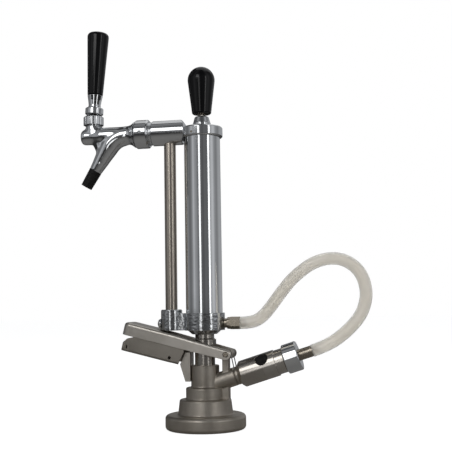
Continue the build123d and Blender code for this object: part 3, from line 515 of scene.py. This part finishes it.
def spun(node, outline, radius, closed=False, stand=Matrix()):
    """A turned piece from (radius, height) points in millimetres; stand puts it in its place."""
    points = rounded(outline, radius, closed)
    shape = bmesh.new()
    verts = [shape.verts.new((point[0] * MM, 0, point[1] * MM)) for point in points]
    edges = [shape.edges.new(pair) for pair in zip(verts, verts[1:])]
    if closed:
        edges.append(shape.edges.new((verts[-1], verts[0])))
    bmesh.ops.spin(
        shape, geom=verts + edges, cent=(0, 0, 0), axis=(0, 0, 1), angle=2 * pi, steps=spin_steps,
        use_merge=True)
    bmesh.ops.remove_doubles(shape, verts=shape.verts[:], dist=same_point)
    bmesh.ops.recalc_face_normals(shape, faces=shape.faces[:])
    shade_smooth(shape)
    bmesh.ops.transform(shape, matrix=stand, verts=shape.verts[:])
    piece = new_piece(node + "_look", shape)
    piece.modifiers.new("flat_faces", "WEIGHTED_NORMAL")
    finished(piece, node)
    return piece


print("cylinder from", [round(value, 1) for value in extent("pump_cylinder")[0]])

# %% [markdown]
# ### The pump's cylinder and cap
# The cylinder is a drawn tube. Its cap fits over it, and the packing nut in the cap's middle holds a
# bush round the rod. A torus or a bevelled cylinder could stand for each, but they share their radii
# where they meet, and outlines that use the same values keep them together.

# %% The cylinder, its cap and the packing nut
low, high = extent("pump_cylinder")
cylinder_radius = high.x
cylinder_bore = cylinder_radius - 1.5
spun("pump_cylinder", [
    (cylinder_bore, low.z), (cylinder_radius, low.z), (cylinder_radius, high.z), (cylinder_bore, high.z),
    ], 0.2, closed=True)

low, high = extent("top_cap")
cap_radius, cap_low, cap_top = high.x, low.z, high.z
cap_inside = cap_top - 4.0
cap_bore = cylinder_radius + 0.05
cap_hole = 6.5
cap_edge, cap_lip = 1.2, 1.0
spun("top_cap", [
    (cap_hole, cap_top), (cap_radius - cap_edge, cap_top), (cap_radius, cap_top - cap_edge),
    (cap_radius, cap_low + cap_lip), (cap_radius - cap_lip, cap_low), (cap_bore, cap_low),
    (cap_bore, cap_inside), (cap_hole, cap_inside)], 0.5, closed=True)

low, high = extent("packing_nut")
packing_radius, packing_top = high.x, high.z
rod_radius, neck_radius, neck_edge = 2.56, 7.3, 0.8
flange_top, flange_side, flange_edge = cap_top + 5.2, cap_top + 4.4, 0.5
spun("packing_nut", [
    (rod_radius, packing_top), (neck_radius - neck_edge, packing_top), (neck_radius, packing_top - neck_edge),
    (packing_radius - flange_edge, flange_top), (packing_radius, flange_side), (packing_radius, cap_top),
    (cap_hole, cap_top), (cap_hole, cap_inside), (rod_radius, cap_inside)], 0.4, closed=True)
print("turned:", ["pump_cylinder", "top_cap", "packing_nut"])

# %% [markdown]
# ### The cap's screw
# A small screw in the cap's side holds it on the cylinder. Its head is drawn as a low cone, because at
# this size a slot or a socket would be less than a pixel.

# %% The screw's head in its little pit
screw_turn = radians(-108.0)
screw_radius, screw_face, screw_depth, screw_sink = 1.5, 1.2, 0.8, 0.25
screw_height = extent("cap_screw")[0].z + screw_radius
screw_way = Vector((cos(screw_turn), sin(screw_turn), 0))
turn_out = screw_way.to_track_quat("Z", "Y").to_matrix().to_4x4()
screw_place = screw_way * (cap_radius - screw_sink) * MM + Vector((0, 0, screw_height)) * MM
shape = bmesh.new()
bmesh.ops.create_cone(
    shape, cap_ends=True, segments=24, radius1=screw_radius * MM, radius2=screw_face * MM,
    depth=screw_depth * MM)
bmesh.ops.transform(shape, matrix=Matrix.Translation(screw_place) @ turn_out, verts=shape.verts[:])
screw_head = new_piece("cap_screw_head", shape)
screw_head.data.materials.append(nickel)
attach(screw_head, nodes["cap_screw"]["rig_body"])
print("screw head faces", len(screw_head.data.polygons))

# %% [markdown]
# ### The manifold
# This is a thick tube that meets the round cap in a saddle. A Boolean would cut it, and leave long thin
# triangles that spoil chrome. Since the saddle is simply where the tube's points run out on the cap's
# circle, each point of its last rings is moved there instead.

# %% Spin the manifold and fit it to the cap
low, high = extent("manifold")
manifold_height = (low.z + high.z) / 2
manifold_radius = (high.z - low.z) / 2
manifold_edge = 1.6
thread_end = -low.x
thread_start = 52.0
thread_radius, thread_depth, thread_crest, thread_turns = 12.0, 0.5, 0.35, 7
thread_pitch = (thread_end - thread_start) / thread_turns
beer_bore = 8.5
saddle_reach, saddle_sink = 9.0, 1.2
thread = []
for index in range(thread_turns):
    groove = thread_end - (index + 0.5) * thread_pitch
    thread += [(thread_radius, groove + thread_crest), (thread_radius - thread_depth, groove)]
shoulder = [
    (thread_radius - 0.4, thread_start), (manifold_radius - 1.4, thread_start),
    (manifold_radius, thread_start - manifold_edge)]
saddle = [
    (manifold_radius, 8.0), (manifold_radius, 1.5), (manifold_radius - 0.5, 0.6),
    (manifold_radius - 1.5, 0.0)]
fill = [(manifold_radius * share, 0.0) for share in (0.7, 0.5, 0.3, 0.1, 0.0)]
to_left = Matrix.Translation(Vector((0, 0, manifold_height)) * MM) @ Matrix.Rotation(radians(-90), 4, "Y")
tube = [(beer_bore, thread_end)] + thread + shoulder
manifold = spun("manifold", tube + saddle + fill, 0.25, stand=to_left)
for vertex in manifold.data.vertices:
    if vertex.co.x > -saddle_reach * MM:
        across = min(abs(vertex.co.y), cap_radius * MM)
        vertex.co.x -= ((cap_radius * MM) ** 2 - across ** 2) ** 0.5 - saddle_sink * MM
print("manifold runs from", round(-thread_end, 1), "to", round(-cap_radius, 1))

# %% [markdown]
# ### The union nut and the ferrule
# The nut holds the hose's nipple on the slanting gas inlet, and the ferrule is the waisted ring under the
# tap's handle. Both lean, so their outlines are drawn upright, in distances along their own axes, and the
# spun piece is turned into place. Leaning the outline itself would spoil its round section.

# %% The inlet's union nut
inlet_stand = Matrix.Translation(inlet_low) @ inlet_way.to_track_quat("Z", "Y").to_matrix().to_4x4()
union_start, union_end, union_radius, union_bevel = 84.0, 98.5, 14.4, 0.7
union_bore, union_hole, union_plate = 11.25, 5.75, 2.4
spun("union_nut", [
    (union_hole, union_end), (union_radius - union_bevel, union_end),
    (union_radius, union_end - union_bevel), (union_radius, union_start + union_bevel),
    (union_radius - union_bevel, union_start), (union_bore, union_start),
    (union_bore, union_end - union_plate), (union_hole, union_end - union_plate)],
    0.5, closed=True, stand=inlet_stand)
print("union nut", 2 * union_radius, "mm across")

# %% The ferrule under the tap's handle
tap_lean = radians(3.2)
ball_place = Vector((-115.3, 0, 309.0)) * MM
handle_stand = Matrix.Translation(ball_place) @ Matrix.Rotation(tap_lean, 4, "Y")
ferrule_low, handle_low = 18.0, 31.2
ferrule_bore, handle_foot = 3.0, 7.9
spun("ferrule", [
    (ferrule_bore, ferrule_low), (6.4, ferrule_low), (6.5, 19.6), (6.2, 21.0), (6.9, 26.0),
    (handle_foot, handle_low), (ferrule_bore, handle_low)], 0.3, closed=True, stand=handle_stand)
print("ferrule", round(handle_low - ferrule_low, 1), "mm high")

# %% [markdown]
# ### The handles and the spout's sleeve
# Both handles are black mouldings: a long taper with a low dome on the tap, and a ball on a cone on the
# pump. The sleeve is a rubber tube on the spout, and its fine ribs are small steps in its outline. They
# could be a bump in the rubber, but then the sleeve's edge would be straight against the white floor.

# %% Spin the tap's handle
handle_top = handle_low + 67.4
spun("tap_handle", [
    (0, handle_low), (handle_foot, handle_low), (11.2, handle_top - 4.0), (9.8, handle_top - 1.5),
    (5.6, handle_top - 0.3), (0, handle_top)], 1.6, stand=handle_stand)
print("tap handle up to", handle_top, "mm above its ball")

# %% Spin the pump's knob
low, high = extent("pump_knob")
knob_radius, knob_taper = high.x, radians(6.8)
knob_centre = high.z - knob_radius
knob_bore, knob_pit, knob_edge = 4.6, 6.0, 0.9
knob_steps = 14
turns = [-knob_taper + step * (pi / 2 + knob_taper) / knob_steps for step in range(knob_steps)]
ball = [(knob_radius * cos(angle), knob_centre + knob_radius * sin(angle)) for angle in turns]
knob_foot = ball[0][0] - (ball[0][1] - low.z) * tan(knob_taper)
spun("pump_knob", [
    (knob_bore, low.z + knob_pit), (knob_bore, low.z), (knob_foot - knob_edge, low.z),
    (knob_foot, low.z + knob_edge)] + ball + [(0, high.z)], 0.3)
print("knob", round(2 * knob_radius, 1), "mm across")

# %% Spin the ribbed sleeve
spout_angle = radians(31.4)
spout_tip = Vector((-122.9, 0, 245.0)) * MM
spout_stand = Matrix.Translation(spout_tip) @ Matrix.Rotation(spout_angle, 4, "Y")
sleeve_tip, sleeve_length, sleeve_bore = -0.6, 18.5, 5.6
sleeve_low, sleeve_high = 5.9, 6.6
rib_count, rib_start, rib_pitch, rib_width, rib_depth = 7, 0.8, 2.6, 0.8, 0.12
sleeve = [(sleeve_bore, sleeve_tip), (sleeve_low, sleeve_tip)]
for index in range(rib_count):
    along = rib_start + index * rib_pitch
    wide = sleeve_low + (sleeve_high - sleeve_low) * along / sleeve_length
    sleeve += [(wide, along), (wide - rib_depth, along + rib_width / 2), (wide, along + rib_width)]
sleeve += [(sleeve_high, sleeve_length), (sleeve_bore, sleeve_length)]
spun("spout_sleeve", sleeve, 0.2, closed=True, stand=spout_stand)
print("ribs on the sleeve:", rib_count)

# %% [markdown]
# ## The tap's casting
# The arm, the spout and the column flow into each other, and the solids meet there in creases. Fillets on
# such a meeting of three tubes often fail in CAD. Here the solid is remeshed into small even squares, and
# smoothing is spread from the creases, which is what polishing does to the real casting.

# %% Remesh the tap and polish its creases
square_size = 0.55 * MM
polish_rounds, skin_rounds = 40, 8
crease_low = Vector((-128, -20, 268)) * MM
crease_high = Vector((-76, 20, 309)) * MM


def polish(shape, verts):
    """Moves each of these points halfway to the middle of its neighbours."""
    bmesh.ops.smooth_vert(
        shape, verts=verts, factor=0.5, use_axis_x=True, use_axis_y=True, use_axis_z=True)


tap = dressed("tap_body", 0.0)
remesh = tap.modifiers.new("even_squares", "REMESH")
remesh.mode = "VOXEL"
remesh.voxel_size = square_size
remesh.use_smooth_shade = True
bpy.context.view_layer.update()
casting = bpy.data.meshes.new_from_object(tap.evaluated_get(bpy.context.evaluated_depsgraph_get()))
casting.name = "tap_casting"
shape = bmesh.new()
shape.from_mesh(casting)
polish(shape, shape.verts[:])
creases = [
    vertex for vertex in shape.verts
    if all(crease_low[axis] < vertex.co[axis] < crease_high[axis] for axis in range(3))]
for step in range(polish_rounds):
    polish(shape, creases)
    if step % skin_rounds == 0:
        polish(shape, shape.verts[:])
shade_smooth(shape)
shape.to_mesh(casting)
shape.free()
tap.modifiers.clear()
tap.data = casting
finished(tap, "tap_body")
print("tap faces", len(casting.polygons))

# %% [markdown]
# ## Floor and surroundings
# The photograph has no floor to speak of: the object stands in plain white. Chrome shows what stands
# round it, so that matters more than the lamps. A white room would leave the chrome without dark lines.
# So floor and world are white to the camera, and what the chrome sees is chosen apart from that, by the
# kind of ray that arrives.


# %% What a ray finds
def seen_directly(tree):
    """1 for what the camera sees, straight or through the clear hose, and 0 for light and reflections."""
    path = tree.nodes.new("ShaderNodeLightPath")
    either = tree.nodes.new("ShaderNodeMath")
    either.operation = "MAXIMUM"
    tree.links.new(path.outputs["Is Camera Ray"], either.inputs[0])
    tree.links.new(path.outputs["Is Transmission Ray"], either.inputs[1])
    return either.outputs["Value"]


def chosen(tree, seen, hidden=None):
    """The seen colour for what the camera sees, and for all else the hidden one, or black."""
    mix = tree.nodes.new("ShaderNodeMix")
    mix.data_type = "RGBA"
    mix.inputs["A"].default_value = (0, 0, 0, 1)
    mix.inputs["B"].default_value = (*seen, 1)
    tree.links.new(seen_directly(tree), mix.inputs["Factor"])
    if hidden:
        tree.links.new(hidden, mix.inputs["A"])
    return mix.outputs["Result"]


def ramp_between(tree, factor, *stops):
    """A ramp of two stops, each with its place and its colour."""
    ramp = tree.nodes.new("ShaderNodeValToRGB")
    for element, (spot, colour) in zip(ramp.color_ramp.elements, stops):
        element.position = spot
        element.color = (*colour, 1)
    tree.links.new(factor, ramp.inputs["Fac"])
    return ramp.outputs["Color"]


white = (1, 1, 1)
print("floor and world tell the camera's rays from the others")

# %% [markdown]
# ### The floor
# To the camera the floor is white with the object's soft shadow. In reflections it is bright under the
# object and dark further off, like a lit table in a dim room, because even brightness from below would
# make the undersides of the chrome flat.

# %% A white floor
floor_reach = 6.0
floor_grey = 0.9
floor_glow = 0.84
shape = bmesh.new()
bmesh.ops.create_grid(shape, x_segments=1, y_segments=1, size=floor_reach)
floor = new_piece("floor", shape)
floor_paint = new_material("floor_paint", 0.0)
set_sockets(floor_paint, {"Roughness": 0.9, "Emission Strength": floor_glow})
tree = floor_paint.node_tree
table_place = tree.nodes.new("ShaderNodeTexCoord")
table_spot = tree.nodes.new("ShaderNodeTexGradient")
table_spot.gradient_type = "SPHERICAL"
tree.links.new(table_place.outputs["Object"], table_spot.inputs["Vector"])


def table_colour(level):
    """A slightly warm grey of this brightness."""
    return (level, level * 0.97, level * 0.93)


# Painted pool of light: in reflections the floor is bright under the object and dark further off
painted_light_pool = ramp_between(tree, table_spot.outputs["Fac"], (0.1, table_colour(0.09)), (0.75, table_colour(0.50)))
paint = chosen(tree, (floor_grey, floor_grey, floor_grey), hidden=painted_light_pool)
glow = chosen(tree, white)
tree.links.new(paint, shader_of(floor_paint).inputs["Base Color"])
tree.links.new(glow, shader_of(floor_paint).inputs["Emission Color"])
floor.data.materials.append(floor_paint)
print("floor size", [round(side, 1) for side in floor.dimensions])

# %% [markdown]
# ### The ring of panels
# A photographer sets soft white panels and dark gaps round metal. Planes could stand in for them, but they
# would also cast light and come into view from other sides. Here they are brightnesses in the world, set
# by the direction in which a reflection looks, and each shows as one upright band on the round chrome.

# %% The direction of a reflection, as a part of a full turn
world = bpy.data.worlds.new("studio")
scene.world = world
world.use_nodes = True
tree = world.node_tree
sky_place = tree.nodes.new("ShaderNodeTexCoord")
sky_way = tree.nodes.new("ShaderNodeSeparateXYZ")
tree.links.new(sky_place.outputs["Generated"], sky_way.inputs["Vector"])
around = tree.nodes.new("ShaderNodeMath")
around.operation = "ARCTAN2"
tree.links.new(sky_way.outputs["X"], around.inputs[0])
tree.links.new(sky_way.outputs["Y"], around.inputs[1])
full_turn = tree.nodes.new("ShaderNodeMapRange")
full_turn.inputs["From Min"].default_value = -pi
full_turn.inputs["From Max"].default_value = pi
tree.links.new(around.outputs["Value"], full_turn.inputs["Value"])
print("world nodes:", len(tree.nodes))

# %% The panels, in degrees to the right of the line from the object to the camera, with their brightness
panels = [
    (-180, 0.24), (-150, 0.06), (-128, 0.07), (-112, 0.24), (-98, 0.16), (-86, 0.14), (-74, 0.22),
    (-60, 0.48), (-52, 0.34), (-40, 0.26), (-26, 0.13), (-8, 0.12), (3, 0.09), (12, 0.13), (30, 0.12),
    (50, 0.40), (66, 0.56), (82, 0.28), (100, 0.21), (112, 0.32), (126, 0.37), (148, 0.36),
]
# The ring's 0 and 1 both point along -Y, and the camera stands a little to the right of there
stops = sorted((-(angle + camera_side) / 360.0 % 1.0, level) for angle, level in panels)
ring = tree.nodes.new("ShaderNodeValToRGB")
ramp = ring.color_ramp
for index, (spot, level) in enumerate(stops):
    element = ramp.elements[index] if index < 2 else ramp.elements.new(spot)
    element.position = spot
    element.color = (level, level * 1.01, level * 1.04, 1)
tree.links.new(full_turn.outputs["Result"], ring.inputs["Fac"])
print("panels round the object:", len(ramp.elements))

# %% Dim the ring towards the top, as under a ceiling
top_grey = (0.55, 0.55, 0.55)
ceiling = ramp_between(tree, sky_way.outputs["Z"], (0.35, white), (0.75, top_grey))
dimmed = tree.nodes.new("ShaderNodeMix")
dimmed.data_type = "RGBA"
dimmed.blend_type = "MULTIPLY"
dimmed.inputs["Factor"].default_value = 1.0
tree.links.new(ring.outputs["Color"], dimmed.inputs["A"])
tree.links.new(ceiling, dimmed.inputs["B"])
background = tree.nodes["Background"]
tree.links.new(chosen(tree, white, hidden=dimmed.outputs["Result"]), background.inputs["Color"])
background.inputs["Strength"].default_value = 1.0
print("world nodes:", len(tree.nodes))

# %% [markdown]
# ## Lamps
# Two upright strips beside the camera draw the long highlights on the pump. A key box from the upper left
# gives the handles theirs and casts the soft shadow, and a dim one overhead lights the top. A sun or a
# spot would be simpler, but in chrome it shows as a hard dot, and an area lamp shows as a soft panel.


# %% Soft lamps
def softbox(name, place, target, size, radiance):
    """A rectangular lamp whose face has this brightness, where 1 is white."""
    data = bpy.data.lights.new(name, "AREA")
    data.shape = "RECTANGLE"
    data.size, data.size_y = size
    data.energy = radiance * pi * size[0] * size[1]
    lamp = bpy.data.objects.new(name, data)
    lamp.location = place
    lamp.rotation_euler = (Vector(target) - Vector(place)).to_track_quat("-Z", "Y").to_euler()
    scene.collection.objects.link(lamp)


def beside_camera(angle, distance, height):
    """A place this many degrees to the right of the camera, seen from the object."""
    way = radians(angle) + camera_azimuth
    return (distance * sin(way), -distance * cos(way), height)


object_middle = (0, 0, 0.24)
tap_middle = (-0.08, 0, 0.27)
softbox("left_strip", beside_camera(-18.5, 1.2, 0.36), object_middle, (0.22, 0.9), 1.3)
softbox("right_strip", beside_camera(40, 1.2, 0.36), object_middle, (0.17, 1.0), 1.8)
softbox("key_box", beside_camera(-31, 1.25, 0.88), tap_middle, (0.55, 0.6), 2.2)
softbox("top_box", (0.1, 0.5, 1.4), object_middle, (1.2, 1.2), 0.5)

# %% Bring the scene up to date
bpy.context.view_layer.update()
